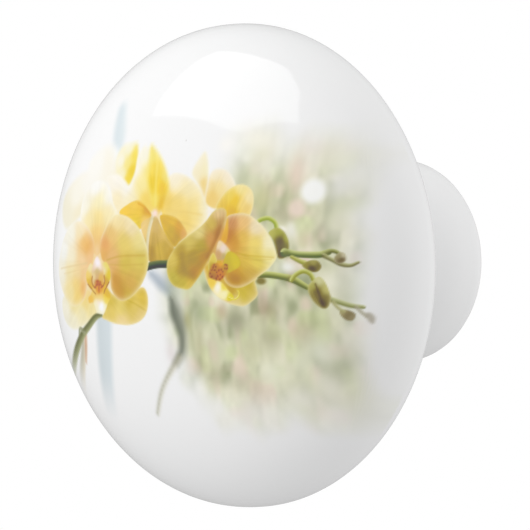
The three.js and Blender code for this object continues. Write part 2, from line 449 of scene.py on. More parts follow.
def cloud(x, z, width, height, seed):
    """Smooth random values from 0 to 1 on cells of that width and height: a lattice eased from corner to corner."""
    lattice = np.random.default_rng(seed).random((128, 128))
    across, up = x / width + 63.5, z / height + 63.5
    i, j = np.floor(across).astype(int), np.floor(up).astype(int)
    s, t = ease(0, 1, across - i), ease(0, 1, up - j)
    i, j = i % 127, j % 127
    low = lattice[i, j] * (1 - s) + lattice[i + 1, j] * s
    return low * (1 - t) + (lattice[i, j + 1] * (1 - s) + lattice[i + 1, j + 1] * s) * t


def tinted(under, colour, amount):
    """The colours underneath mixed with a colour by that amount."""
    return under + (np.asarray(colour) - under) * np.reshape(amount, (-1, 1))


picture_x, picture_z = points[:, 0], points[:, 2]
on_face = points[:, 1] < RIM_Y
picture = np.full((len(points), 3), 246.0)


def near(line, margin):
    """The points within the polyline's box and a margin round it."""
    low_x, low_z = line[:, :2].min(0) - margin
    high_x, high_z = line[:, :2].max(0) + margin
    return np.flatnonzero(
        (picture_x > low_x) & (picture_x < high_x) & (picture_z > low_z) & (picture_z < high_z) & on_face
    )


def lay(where, colour, amount):
    """Lays a colour over the picture at those points."""
    picture[where] = tinted(picture[where], colour, np.clip(amount, 0, 1))


def spot(x, z, wide, high, colour, amount=1, turn=0, firm=0.0):
    """A soft round dab, exp(-1.2 q^2) with q the distance over its radius, or one with a firm edge."""
    where = near(np.array([(x, z)]), 3 * max(wide, high))
    cos, sin = math.cos(math.radians(turn)), math.sin(math.radians(turn))
    off_x, off_z = picture_x[where] - x, picture_z[where] - z
    q = np.hypot((off_x * cos + off_z * sin) / wide, (off_z * cos - off_x * sin) / high)
    lay(where, colour, amount * (1 - ease(firm, 2 - firm, q) if firm else np.exp(-1.2 * q**2)))


def petal(outline, washes, edge=0.07, soft=0.7, veins=None, rim=None, creases=(), amount=1.0):
    """A closed shape with washes (x, z, red, green, blue), each weighed 1 / (d^2 + soft^2)^2 by its distance d.
    Veins (x, z, strength) fan out from a place, a rim (colour, width, amount) pales towards the outline, and
    creases (curve, width, colour, amount) are soft lines."""
    shape = spline(outline, closed=True)
    where = near(shape, 3 * edge)
    x, z = picture_x[where], picture_z[where]
    depth = nearest(x, z, np.vstack([shape, shape[:1]]))[0]
    depth = np.where(inside(x, z, shape), depth, -depth)
    washes = np.array(washes, float)
    weight = 1 / ((x[:, None] - washes[:, 0]) ** 2 + (z[:, None] - washes[:, 1]) ** 2 + soft**2) ** 2
    colour = weight @ washes[:, 2:] / weight.sum(1, keepdims=True)
    away = 1.0
    if veins:
        heart_x, heart_z, strength = veins
        angle, far = np.arctan2(z - heart_z, x - heart_x), np.hypot(z - heart_z, x - heart_x)
        broad = cloud(3 * angle, 0.22 * far, 0.21, 1, 11) - 0.5
        fine = cloud(3 * angle, 0.3 * far, 0.07, 1, 12) - 0.5
        mottle = cloud(x, z, 0.55, 0.55, 13) - 0.5
        tone = strength * (0.9 * broad + 0.6 * fine) * ease(0.6, 2.4, far) + 0.7 * strength * mottle
        colour = colour * (1 + tone)[:, None] + tone[:, None] * (0, 20, 60)
        away = ease(0.5, 2.0, far)
    for crease, width, tint, deep in creases:
        colour = tinted(colour, tint, deep * np.exp(-((nearest(x, z, spline(crease))[0] / width) ** 2)))
    if rim:
        pale, width, most = rim
        colour = tinted(colour, pale, most * away * np.exp(-((np.clip(depth, 0, None) / width) ** 1.3)))
    lay(where, colour, ease(-edge, edge, depth) * amount)


def strand(knots, widths, shade, light, edge=0.06, amount=1.0, fade=None):
    """A stem along a curve, with a half width at each knot, shaded from its lower right to its upper left.
    It fades away from amount to nothing between the two places of fade, (x, z) to (x, z)."""
    stem = spline(np.column_stack([knots, np.broadcast_to(widths, len(knots))]))
    where = near(stem, 2 * stem[:, 2].max())
    x, z = picture_x[where], picture_z[where]
    gap, along, side = nearest(x, z, stem[:, :2])
    half = np.interp(along, np.arange(len(stem)), stem[:, 2])
    colour = tinted(np.broadcast_to(np.array(shade, float), (len(x), 3)), light, ease(-0.7, 1, side * gap / half))
    cover = ease(-edge, edge, half - gap) * amount
    if fade:
        start, end = np.array(fade, float)
        way = end - start
        cover = cover * (1 - ease(0, 1, ((x - start[0]) * way[0] + (z - start[1]) * way[1]) / (way @ way)))
    lay(where, colour, cover)


# Its background is a garden out of focus: pale hanging leaves, from clouds of several sizes and seeds, that melt
# away on every side and are cleared where the blooms stand against white.
x, z = picture_x, picture_z
garden = np.empty_like(picture)
garden[:] = (212, 213, 176)
wander = 1.6 * (cloud(x, z, 1.6, 1.6, 21) - 0.5)
hang = cloud(x, z, 1.0, 2.1, 1) * 0.6 + cloud(x, z, 2.0, 3.2, 2) * 0.4
dark = cloud(x, z, 1.5, 1.8, 3) * 0.6 + cloud(x, z, 0.8, 1.1, 7) * 0.4
warm = cloud(x, z, 1.2, 1.7, 4)
leaf = cloud(x, z, 1.3, 1.4, 5)
garden = tinted(garden, (144, 152, 110), ease(0.46, 0.82, dark) * 0.8)
garden = tinted(garden, (243, 239, 212), ease(0.44, 0.78, hang) * 0.85)
garden = tinted(garden, (228, 202, 184), ease(0.58, 0.92, warm) * 0.6)
garden = tinted(garden, (206, 216, 156), ease(0.56, 0.92, leaf) * 0.6)
# The garden pales to cream towards its bottom edge as the print fades. Towards its top the paling is partly the
# print's fade and partly a painted highlight, the softbox's reflection washing over the glaze.
garden = tinted(garden, (243, 240, 226), ease(-7.5, -12.0, z) * 0.5 + ease(4.0, 9.5, z) * 0.6)
garden += ((cloud(x, z, 0.4, 0.6, 8) - 0.5) * 14)[:, None]
left = ease(-1.9, 2.1, x + 0.8 * wander - 0.42 * np.clip(-z - 4, 0, 9))
right = 1 - ease(14.0, 17.6, x + wander * 0.8 + 0.04 * abs(z))
top = 1 - ease(7.0, 12.4, z + wander + 0.05 * x)
bottom = ease(-13.2, -9.0, z + wander)
cleared = 1 - ease(0, 4, z) * (1 - ease(3.6, 8.4, x))
garden_strength = 0.92
lay(slice(None), garden, left * right * top * bottom * cleared * garden_strength * on_face)

# Soft patches of its leaves and of the sky between them.
leaves = [  # x, z, half width, half height, colour and amount
    (6.9, 6.6, 1.3, 1.4, (200, 204, 162), 0.5), (8.6, 5.2, 1.3, 1.6, (212, 209, 158), 0.75),
    (8.4, 8.8, 1.3, 1.1, (230, 228, 196), 0.6), (7.8, 9.9, 1.6, 0.9, (250, 247, 232), 0.7),
    (10.7, 4.2, 1, 1.1, (202, 192, 168), 0.6), (11.4, 7.2, 0.8, 1.7, (240, 216, 200), 0.7),
    (13.3, 8.6, 1.2, 1.4, (232, 228, 208), 0.6), (14.7, 6.4, 1.3, 1.6, (238, 237, 232), 0.8),
    (14.7, 3.4, 1.3, 1.8, (231, 228, 208), 0.8), (12.6, 2.3, 0.8, 0.8, (216, 196, 172), 0.5),
    (11.2, 0.25, 0.75, 0.5, (244, 246, 240), 0.85), (11.4, 2.9, 0.5, 0.6, (238, 236, 224), 0.7),
    (15.4, -1, 0.7, 1.8, (204, 203, 180), 0.45), (1.6, -4, 0.6, 0.9, (172, 166, 112), 0.6),
    (2.9, -3.4, 1, 1.2, (154, 162, 130), 0.6), (2.8, -5.9, 0.7, 1.6, (188, 184, 148), 0.6),
    (4.4, -5.6, 1.1, 1.2, (204, 204, 172), 0.6), (6.4, -3.9, 1.2, 1.1, (152, 152, 124), 0.75),
    (5.2, -3.2, 0.6, 0.7, (190, 160, 136), 0.5), (7.7, -6.1, 1, 1, (204, 202, 164), 0.6),
    (9.3, -3, 1.2, 0.9, (166, 152, 120), 0.6), (9.5, -5.1, 1.1, 1.1, (176, 174, 138), 0.65),
    (12.2, -4.6, 1, 1.1, (200, 186, 154), 0.5), (13.5, -6.2, 1.3, 1.4, (228, 229, 212), 0.8),
    (6.3, -8.7, 1.1, 0.9, (190, 186, 156), 0.6), (4.2, -8.4, 0.9, 1, (206, 198, 170), 0.5),
    (9.5, -7.7, 1.2, 0.8, (236, 236, 212), 0.85), (11.8, -7, 1, 1.2, (230, 231, 206), 0.75),
    (11.4, -9.8, 1.8, 1.3, (240, 238, 226), 0.8), (13.6, -8.8, 1.7, 1.7, (240, 237, 222), 0.85),
    (15.4, -5.6, 0.9, 1.8, (214, 212, 194), 0.5),
]
for leaf_x, leaf_z, wide, high, colour, amount in leaves:
    spot(leaf_x, leaf_z, wide, high, colour, amount)
# Two near-white dabs at the garden's top left are a painted highlight: the softbox's reflection washing over the top
# of the print.
spot(5, 9.5, 0.8, 0.7, (252, 250, 244), 0.85)
spot(7, 8.4, 0.5, 0.4, (250, 248, 236), 0.5)
spot(12.85, 5.95, 0.92, 0.92, (253, 253, 251), 0.95, firm=0.6)
spot(11.7, 4.7, 0.66, 0.66, (242, 222, 208), 0.75, firm=0.45)
spot(11.35, 3.3, 0.4, 0.45, (246, 244, 232), 0.5)
# A tree trunk in the haze.
strand([(-1.9, -0.5), (-0.9, -1.1), (-0.2, -1.6)], [0.4, 0.6, 0.5], (150, 164, 178), (196, 204, 212), edge=0.5,
    amount=0.75)
strand([(0.4, -0.4), (0.5, -1.8), (0.7, -3.2)], [0.8, 0.8, 0.7], (168, 176, 156), (206, 208, 196), edge=0.6,
    amount=0.7)
strand([(0.2, -2.5), (0.5, -3.4), (0.9, -4.3), (1.15, -5.3), (1, -6.4), (0.3, -7.3)],
    [0.3, 0.6, 0.6, 0.46, 0.38, 0.3], (98, 104, 90), (150, 154, 138), edge=0.45, amount=0.85)
strand([(0.6, -6.9), (-0.2, -7.8), (-1, -8.7), (-1.8, -9.8), (-2.6, -11.4)], [0.3, 0.26, 0.2, 0.18, 0.14],
    (160, 158, 130), (206, 202, 180), edge=0.3, amount=0.7)
spot(-0.2, -6.6, 0.6, 0.9, (226, 216, 214), 0.6)
# Two pale bars behind the spray.
strand([(-7.4, 12.2), (-7, 10.2), (-6.7, 9)], [0.55, 0.75, 0.4], (208, 221, 226), (218, 229, 232), edge=0.5,
    amount=0.75)
strand([(-7.9, -4.2), (-8.2, -7), (-8.8, -11.5)], [1, 0.95, 0.8], (204, 214, 218), (212, 222, 226), edge=0.45,
    amount=0.9, fade=((-8.1, -8), (-8.9, -13)))
# Pale blooms behind it.
petal([(-14.6, 5.2), (-13, 6.6), (-10.8, 7.4), (-9, 6.8), (-9.4, 5), (-11.4, 3.7), (-13.3, 2.8), (-14.4, 3.6)],
    [(-13.4, 3.9, 242, 236, 212), (-12, 5.2, 248, 245, 232), (-10.5, 6.5, 248, 245, 236),
     (-11.6, 4.2, 243, 234, 204)], edge=0.35)
petal([(-10.6, 8.2), (-8.6, 9.4), (-6.6, 9), (-5.2, 7.4), (-6.2, 6.4), (-8.2, 6.4), (-10.2, 6.6)],
    [(-9.6, 8.2, 249, 247, 240), (-7.6, 8, 248, 243, 228), (-6.2, 7.2, 247, 240, 216), (-6.6, 8.8, 247, 248, 246)],
    edge=0.45)
# A yellow petal edge on, behind the middle bloom.
petal([(-4.7, 9.6), (-4.3, 9), (-4.3, 7.6), (-4.9, 6.4), (-5.6, 6.6), (-6.6, 7.3), (-6.9, 8.4), (-6.2, 9.4)],
    [(-4.6, 8.6, 245, 222, 92), (-4.75, 7.4, 238, 206, 46), (-5.1, 6.8, 242, 214, 70), (-5.5, 8, 246, 230, 140),
     (-6.2, 8.2, 249, 245, 228), (-5.5, 9.2, 248, 244, 218), (-5.9, 7.2, 248, 241, 206)], edge=0.24, soft=0.4)
# The middle bloom, seen from behind: four petals, its sepals and the stalk.
spot(-1.6, 3.8, 0.8, 0.8, (240, 212, 140), 0.9)
petal([(-7.8, 6.9), (-6.5, 7.15), (-5.5, 6.7), (-4.9, 6.3), (-4.4, 7.2), (-4.2, 8.6), (-3.6, 9.4), (-2.6, 8.8),
     (-2, 6.8), (-1.9, 4.4), (-3.6, 4.3), (-5.4, 4), (-6.6, 4.2), (-7.2, 5.8)],
    [(-6.4, 6.6, 249, 244, 232), (-6.2, 5.2, 246, 232, 190), (-5.2, 6.1, 248, 245, 238), (-4.4, 7.6, 249, 244, 228),
     (-4.6, 5.2, 247, 236, 196), (-3.5, 8.6, 249, 246, 228), (-3.6, 6.4, 248, 233, 160), (-2.9, 5.2, 243, 212, 100),
     (-2.7, 7.4, 246, 228, 130)], edge=0.18, veins=(-1.9, 4.3, 0.02), rim=((252, 250, 244), 0.25, 0.5))
petal([(-1, 4.2), (0.2, 3.2), (1.5, 2.2), (2.5, 2.6), (3.3, 3.2), (3.85, 4.1), (3.6, 5.3), (2.6, 6.4), (1.2, 7.15),
     (-0.2, 7.2), (-1.2, 6)],
    [(0.2, 6.6, 248, 238, 210), (1.8, 6.2, 247, 232, 180), (-0.6, 5.2, 242, 209, 100), (0.6, 4.8, 244, 216, 124),
     (2.4, 4.4, 244, 220, 136), (3.4, 4.6, 246, 234, 190), (1.4, 3.7, 241, 210, 112)], edge=0.1,
    veins=(-1.5, 4.2, 0.03), rim=((250, 246, 236), 0.35, 0.65),
    creases=[([(-0.6, 4.5), (1.2, 4.35), (3.2, 4.1)], 0.1, (236, 204, 110), 0.35)])
petal([(-2.9, 9.4), (-2.2, 9.1), (-1.3, 8.2), (-0.55, 7), (-0.35, 5.9), (-0.8, 4.9), (-1.3, 4.2), (-1.8, 4.3),
     (-2.3, 5.2), (-2.85, 6.6), (-2.9, 8)],
    [(-2.3, 8.7, 245, 228, 120), (-2, 7.6, 246, 218, 86), (-2.3, 6.4, 238, 204, 46), (-1.7, 6.4, 245, 214, 66),
     (-1.15, 6.2, 238, 196, 44), (-0.75, 7, 243, 222, 110), (-1.75, 5.2, 243, 220, 100), (-1, 5, 232, 186, 48)],
    edge=0.26, soft=0.4, veins=(-1.7, 4.2, 0.03), rim=((250, 240, 170), 0.35, 0.5),
    creases=[([(-1.9, 8.8), (-1.85, 6.8), (-1.75, 4.8)], 0.16, (250, 232, 130), 0.5)])
petal([(-5.9, 4.15), (-4.9, 4.85), (-3.9, 5.15), (-3.2, 4.95), (-2.6, 4.5), (-2.1, 4), (-2.6, 3.6), (-3.4, 2.9),
     (-4.4, 3.2)],
    [(-5.2, 4.3, 246, 204, 74), (-4.2, 4.8, 240, 202, 84), (-3.4, 4.9, 240, 196, 80), (-2.7, 4.3, 222, 166, 44),
     (-3.6, 4.1, 238, 200, 70), (-3.8, 3.5, 236, 206, 66), (-2.8, 3.7, 240, 204, 110)], soft=0.4,
    veins=(-2, 4.1, 0.05), rim=((244, 210, 100), 0.2, 0.4),
    creases=[([(-3.7, 4.95), (-3, 4.65), (-2.3, 4.1)], 0.09, (214, 150, 34), 0.55)])
petal([(-3.3, 3.2), (-2.4, 3.8), (-1.6, 3.9), (-0.8, 2.9), (0.3, 1.7), (0.6, 0.9), (-0.2, 0.45), (-2.2, 0.4),
     (-2.6, 1.6)],
    [(-2.8, 2.9, 236, 204, 130), (-2.1, 1.2, 184, 148, 62), (-1.8, 2.2, 206, 172, 84), (-1.5, 3.2, 216, 184, 110),
     (-1.2, 1.4, 208, 176, 70), (-0.5, 1.6, 200, 168, 70), (0.2, 1.1, 196, 160, 60), (-0.9, 2.6, 218, 184, 100)],
    soft=0.4, veins=(-1.8, 4.2, 0.06), creases=[([(-1.3, 3.3), (-0.6, 2.3), (0.3, 1.5)], 0.12, (222, 190, 100), 0.6)])
petal([(-1.15, 4), (-0.2, 4.05), (0.6, 3.85), (1.2, 3.4), (1.75, 2.6), (1, 2), (0.4, 1.6), (-0.5, 2.5), (-0.95, 3.2)],
    [(-0.7, 3.6, 222, 180, 40), (0.1, 3.7, 226, 184, 60), (0.9, 3.1, 214, 160, 60), (0.1, 2.8, 206, 172, 40),
     (0.6, 2.1, 198, 160, 46), (1.4, 2.6, 224, 172, 96)], soft=0.4, veins=(-1.8, 4.2, 0.05),
    rim=((238, 208, 120), 0.12, 0.5))
strand([(-2, 3.9), (-2.35, 2.9), (-2.5, 1.9), (-2.45, 1.1)], [0.16, 0.17, 0.15, 0.08], (222, 214, 170),
    (240, 232, 204), edge=0.08, amount=0.9)
spot(-1.72, 4.2, 0.36, 0.34, (252, 226, 222), 0.95)
spot(-1.85, 3.75, 0.22, 0.14, (204, 186, 120), 0.7)
# The pale peach bloom above the right-hand one.
petal([(1.9, 7.3), (2.6, 8.6), (3.1, 8.9), (3.5, 8), (3.65, 6.6), (3.4, 5.4), (2.8, 6.2)],
    [(2.6, 8, 247, 239, 210), (3.2, 7.6, 246, 237, 194), (3.3, 6.4, 241, 212, 134), (2.4, 7.2, 246, 235, 200)],
    edge=0.16, soft=0.5, rim=((250, 248, 240), 0.2, 0.6))
petal([(3.6, 5), (3.6, 6.6), (3.9, 7.4), (4.6, 7.65), (5.5, 7.4), (6.2, 6.6), (6.3, 5.9), (5, 4.6)],
    [(4.2, 7.1, 246, 235, 204), (5.4, 6.9, 246, 234, 206), (4.1, 5.6, 241, 206, 116), (4.8, 6.2, 244, 222, 154),
     (3.9, 6.4, 243, 217, 146)], edge=0.12, soft=0.5, veins=(3.7, 4.4, 0.02), rim=((250, 246, 236), 0.25, 0.6))
spot(4, 4.35, 0.4, 0.25, (248, 240, 226), 0.9)
# The stem behind them.
strand([(-2.6, 0), (-1.4, 0.22), (0.4, 0.3)], 0.3, (40, 54, 22), (108, 122, 72))
# The two stems on the right with their buds.
strand([(8.2, 3.3), (8.7, 3.75), (9.4, 3.9), (10, 3.6), (10.25, 3)], [0.14, 0.17, 0.17, 0.17, 0.2], (150, 166, 44),
    (208, 214, 130))
petal([(9.45, 2.75), (10, 3.15), (10.6, 3.1), (11.1, 2.5), (11.28, 1.8), (11.1, 1.1), (10.7, 0.85), (10.3, 1),
     (10.1, 1.8), (9.8, 2.4)],
    [(9.8, 2.85, 186, 184, 90), (10.4, 3, 170, 170, 70), (11, 2.4, 172, 172, 74), (10.6, 2.2, 104, 88, 34),
     (10.6, 1.3, 92, 76, 28), (11.1, 1.6, 128, 122, 50), (10.25, 1.4, 120, 104, 40)], edge=0.06, soft=0.3,
    rim=((196, 190, 120), 0.11, 0.6))
spot(10.75, 3.15, 0.36, 0.16, (248, 244, 232), 0.85, turn=-28)
strand([(10.9, 1.32), (11.3, 1.3), (12.2, 1.2), (13.6, 1.2), (14.3, 1.4)], [0.34, 0.26, 0.24, 0.25, 0.22],
    (92, 106, 36), (206, 212, 140))
spot(11.1, 1.25, 0.3, 0.3, (110, 118, 48), 0.7)
strand([(11.5, 1), (12.1, 0.72), (12.7, 0.5)], [0.14, 0.17, 0.2], (150, 150, 60), (206, 206, 120))
petal([(12.35, 0.4), (12.9, 0.75), (13.5, 0.75), (13.8, 0.35), (13.6, -0.02), (13.2, -0.12), (12.7, 0.05)],
    [(12.6, 0.45, 150, 140, 60), (13.2, 0.6, 168, 160, 86), (13.1, 0.15, 88, 72, 30), (13.6, 0.35, 128, 116, 60)],
    edge=0.06, soft=0.25, rim=((176, 168, 100), 0.1, 0.6))
strand([(14, 1.3), (14.5, 1.5), (14.95, 1.35), (15.1, 1)], [0.2, 0.16, 0.15, 0.16], (110, 112, 56), (184, 188, 120))
strand([(14, 1.12), (14.6, 0.8), (15.2, 0.5), (15.8, 0.42), (16.3, 0.65)], [0.18, 0.15, 0.17, 0.14, 0.1],
    (116, 112, 64), (196, 196, 138), edge=0.07, amount=0.9)
petal([(14.7, 1), (15.1, 1.4), (15.45, 1.25), (15.5, 0.8), (15.2, 0.55), (14.85, 0.6)],
    [(15, 1.15, 156, 146, 100), (15.25, 0.8, 112, 96, 62), (15.35, 1.2, 206, 198, 166)], soft=0.2,
    rim=((206, 200, 164), 0.1, 0.6))
strand([(8.6, -0.38), (9.6, -0.36), (10.8, -0.5), (11.6, -0.68), (12.2, -0.98), (12.7, -1.25)],
    [0.25, 0.25, 0.25, 0.28, 0.24, 0.2], (104, 112, 36), (206, 210, 130))
spot(11.45, -0.62, 0.3, 0.26, (134, 116, 62), 0.6)
spot(8.9, -0.85, 0.42, 0.26, (124, 112, 50), 0.9, firm=0.5)
strand([(11.5, -0.72), (11.8, -0.35), (12.4, -0.06), (12.95, -0.25), (13.25, -0.75)], [0.18, 0.17, 0.17, 0.17, 0.18],
    (150, 150, 46), (212, 216, 132))
strand([(14.1, -2), (14.9, -2.3), (15.8, -2.6), (16.5, -2.7)], [0.2, 0.2, 0.18, 0.14], (138, 142, 84),
    (204, 208, 154), edge=0.07, amount=0.95)
petal([(12.75, -1.25), (13.1, -0.8), (13.6, -0.45), (14, -0.75), (14.3, -1.4), (14.45, -2.1), (14.2, -2.75),
     (13.8, -2.85), (13.3, -2.5), (12.9, -1.9)],
    [(13.1, -1.1, 176, 172, 84), (13.6, -0.75, 214, 212, 160), (14.1, -1.4, 196, 190, 112),
     (13.5, -1.6, 124, 108, 46), (13.3, -2.1, 128, 112, 52), (13.9, -2.4, 96, 80, 36), (14.2, -2.2, 140, 128, 70)],
    edge=0.06, soft=0.3, rim=((212, 208, 146), 0.13, 0.7),
    creases=[([(13.35, -1), (13.65, -1.9), (13.9, -2.7)], 0.08, (84, 64, 30), 0.6),
     ([(13, -1.3), (13.2, -1.9), (13.6, -2.6)], 0.07, (170, 160, 84), 0.5)])
petal([(15, -3), (15.3, -2.9), (15.8, -3.05), (16, -3.3), (15.8, -3.7), (15.4, -3.7), (15.05, -3.35)],
    [(15.2, -3.05, 180, 170, 120), (15.5, -3.3, 136, 122, 84), (15.8, -3.5, 156, 144, 108)], soft=0.25)
strand([(14.6, -2.35), (14.9, -2.75), (15.25, -3.05)], [0.14, 0.13, 0.12], (166, 162, 108), (196, 194, 140),
    edge=0.08, amount=0.8)
strand([(16.1, -2.7), (16.4, -3.1), (16.65, -3.4)], [0.14, 0.13, 0.12], (170, 164, 138), (192, 188, 164), edge=0.09,
    amount=0.75)
petal([(16.6, -3.2), (16.9, -3.15), (17.1, -3.5), (16.95, -3.95), (16.7, -3.7)],
    [(16.8, -3.4, 186, 180, 162), (16.95, -3.7, 172, 164, 148)], edge=0.14, amount=0.8)
# The right-hand bloom.
petal([(4, 0.2), (4.2, 1.6), (5, 3), (5.5, 3.9), (5.9, 3.2), (6, 1.6), (5.6, 0.2)],
    [(5.2, 2.6, 214, 160, 84), (4.7, 1, 212, 172, 96)], edge=0.15)
petal([(3.6, 0.4), (3.65, -0.5), (4, -1.3), (4.8, -2.05), (5.9, -2.6), (7.2, -2.8), (8.1, -2.4), (8.6, -1.9),
     (8.55, -1.4), (8.4, -0.9), (8.4, -0.5), (6, 0.6)],
    [(4.2, -1, 214, 176, 60), (5.4, -2, 222, 190, 110), (6.6, -2.3, 226, 206, 130), (7.2, -1.8, 206, 184, 64),
     (8.1, -1.8, 214, 190, 90), (7.9, -1.1, 206, 180, 60), (6.2, -1.6, 196, 158, 50)], soft=0.5,
    veins=(5.3, 0.4, 0.04), rim=((240, 226, 180), 0.22, 0.8))
petal([(4.55, 4.75), (5.2, 5.7), (6.1, 6.3), (7, 6.45), (7.75, 6.05), (8.05, 5.3), (7.9, 4.3), (7.4, 3.6), (6.2, 3.3),
     (5.4, 3.6), (5, 4.2)],
    [(5, 5, 232, 196, 80), (5.9, 5.6, 236, 208, 90), (6.4, 5.2, 236, 196, 44), (6.1, 4.3, 226, 182, 40),
     (7, 5, 242, 214, 130), (7.6, 5.4, 244, 226, 170), (7.5, 4.5, 240, 208, 120), (6.8, 6.1, 242, 224, 150)],
    soft=0.4, veins=(5.5, 2, 0.04), rim=((248, 234, 180), 0.18, 0.7))
petal([(5.6, 3.9), (6.6, 4.25), (7.6, 4.2), (8.4, 3.75), (9.2, 3.1), (9.8, 2.3), (10.2, 1.4), (10.25, 0.9),
     (9.7, 0.2), (8.9, -0.4), (7.8, -1.1), (6.8, -1.4), (5.9, -1.2), (5.4, -0.5), (5.2, 1.2), (5.4, 2.6)],
    [(6.2, 3.5, 206, 146, 92), (5.9, 2.6, 192, 124, 56), (6.5, 2.2, 206, 150, 60), (7.2, 3.6, 232, 190, 120),
     (7.2, 2.4, 232, 194, 90), (8.4, 3.2, 242, 226, 190), (8.4, 2, 236, 212, 110), (9.6, 2, 244, 236, 196),
     (8.6, 0.7, 226, 204, 90), (9.6, 1, 238, 226, 150), (7.4, 0.6, 222, 190, 80), (6.4, 0.2, 206, 156, 50),
     (6.6, -0.8, 184, 132, 44), (8, -0.4, 212, 176, 80), (5.7, 1.4, 226, 170, 90), (7.6, -0.9, 196, 152, 60)],
    soft=0.5, veins=(5.3, 1.6, 0.05), rim=((248, 240, 200), 0.22, 0.7),
    creases=[([(6.6, 1.25), (8, 1.05), (10, 0.95)], 0.07, (200, 166, 50), 0.4),
     ([(6.6, 0.95), (8.2, 0.75), (9.8, 0.8)], 0.05, (200, 166, 60), 0.3)])
petal([(-0.35, 0.3), (-0.25, -0.7), (0.3, -1.35), (1.2, -1.6), (2, -1.6), (2.7, -1), (3.4, -0.2), (4.1, 0.8),
     (4.7, 2), (5.2, 2.9), (5.6, 3.8), (5.55, 4.45), (5, 4.65), (4.3, 4.35), (3.6, 3.6), (2.8, 3), (1.9, 2.5),
     (0.9, 1.9), (0.1, 1.1)],
    [(0.2, 0.5, 214, 190, 90), (0.4, -0.8, 196, 180, 70), (1.4, -1.2, 206, 186, 70), (1.2, 1.2, 190, 160, 62),
     (1.2, -0.2, 180, 150, 50), (2, 1.9, 208, 186, 90), (3, 2.7, 224, 206, 130), (2.4, 0.9, 176, 146, 50),
     (3.2, 1.8, 184, 162, 60), (3.6, 0.8, 188, 140, 46), (2.6, -0.4, 190, 140, 40), (4.2, 2.2, 206, 150, 80),
     (4.3, 3.4, 206, 180, 80), (4.9, 4.2, 226, 196, 140), (4.9, 2.8, 180, 124, 60), (5.2, 3.5, 196, 150, 84),
     (2.2, -1.2, 212, 180, 70)], edge=0.08, soft=0.45, veins=(5.3, 1.8, 0.06), rim=((232, 216, 140), 0.14, 0.65),
    creases=[([(1.2, 1), (1.5, -0.1), (2.4, -0.7)], 0.35, (150, 118, 40), 0.35),
     ([(3.9, 0.9), (4.6, 2.1), (5.1, 3.2)], 0.22, (160, 100, 44), 0.45)])
# Its throat, its column and its side lobes.
petal([(5.15, 2.1), (5.5, 3.2), (5.75, 3.9), (5.85, 3.1), (5.75, 2.2), (5.4, 1.9)],
    [(5.5, 2.4, 230, 176, 60), (5.7, 3.4, 236, 190, 60)], edge=0.1, amount=0.8)
petal([(4.75, 1.6), (5, 2.15), (5.5, 1.95), (6.1, 1.35), (5.9, 0.95), (5.3, 0.7), (4.7, 0.85)],
    [(4.95, 1.9, 240, 218, 176), (5.4, 1.5, 240, 220, 208), (5.9, 1.15, 232, 220, 150), (5, 1.1, 206, 164, 110),
     (5.5, 0.95, 196, 172, 110)], edge=0.1, soft=0.2)
petal([(5.7, 1.1), (6.1, 1.35), (6.7, 1.1), (7.05, 0.6), (6.95, 0.2), (6.5, -0.05), (5.7, -0.3), (5.4, 0.2)],
    [(6.5, 0.9, 216, 196, 60), (6.7, 0.4, 218, 196, 30), (5.9, 0.6, 204, 184, 60), (6, 0, 206, 180, 50)], soft=0.3,
    rim=((206, 184, 40), 0.1, 0.6))
petal([(4.15, 0.9), (4.5, 1.2), (4.8, 0.7), (4.6, 0.2), (4.2, -0.3), (3.95, 0.1)],
    [(4.4, 0.9, 222, 200, 90), (4.2, 0.1, 196, 170, 60)], soft=0.2, rim=((240, 228, 150), 0.1, 0.6))
# Its lip: a speckled heart, a white tongue and its curl.
petal([(4, -0.35), (4.3, 0.3), (4.8, 0.45), (5.3, 0.3), (5.8, 0.4), (5.9, 0), (5.6, -0.5), (5.1, -0.9), (4.5, -0.85),
     (4.1, -0.7)],
    [(4.5, -0.1, 196, 140, 60), (5.1, -0.4, 206, 130, 50), (5.6, 0.1, 200, 150, 60), (4.4, -0.6, 176, 120, 70)],
    edge=0.1, soft=0.2)
petal([(4, -0.75), (4.6, -0.85), (5.3, -1.05), (5.9, -1.6), (6.4, -2.1), (6.1, -2.4), (5.3, -2.3), (4.6, -1.9),
     (4.05, -1.3)],
    [(4.4, -1.05, 240, 206, 80), (4.9, -1.4, 252, 246, 226), (5.5, -1.9, 250, 242, 190), (5.5, -1.35, 240, 220, 90),
     (6.1, -2.2, 226, 210, 60)], soft=0.2)
strand([(5.9, -2.15), (6.4, -2.3), (6.8, -2.1), (6.9, -1.75), (6.75, -1.55)], [0.08, 0.07, 0.06, 0.06, 0.04],
    (222, 204, 60), (248, 240, 150), edge=0.04)
dots = [
    (4.15, -0.35), (4.3, -0.6), (4.45, 0.1), (4.55, 0.3), (4.7, 0.15), (4.6, -0.1), (4.8, -0.25), (5, -0.1),
    (4.9, -0.55), (5.15, -0.45), (5.1, -0.8), (5.35, -0.6), (5.4, -0.2), (5.6, 0.05), (5.75, 0.3), (5.6, 0.35),
    (5.8, 0.05), (4.75, -0.75), (4.3, -0.1), (5.25, -0.05),
]
for k, (dot_x, dot_z) in enumerate(dots):
    spot(dot_x, dot_z, 0.07 + 0.03 * (k % 3), 0.07, (128, 52, 20), 0.8, turn=37 * k)
spot(5.15, 0.35, 0.26, 0.2, (232, 170, 20), 0.95)
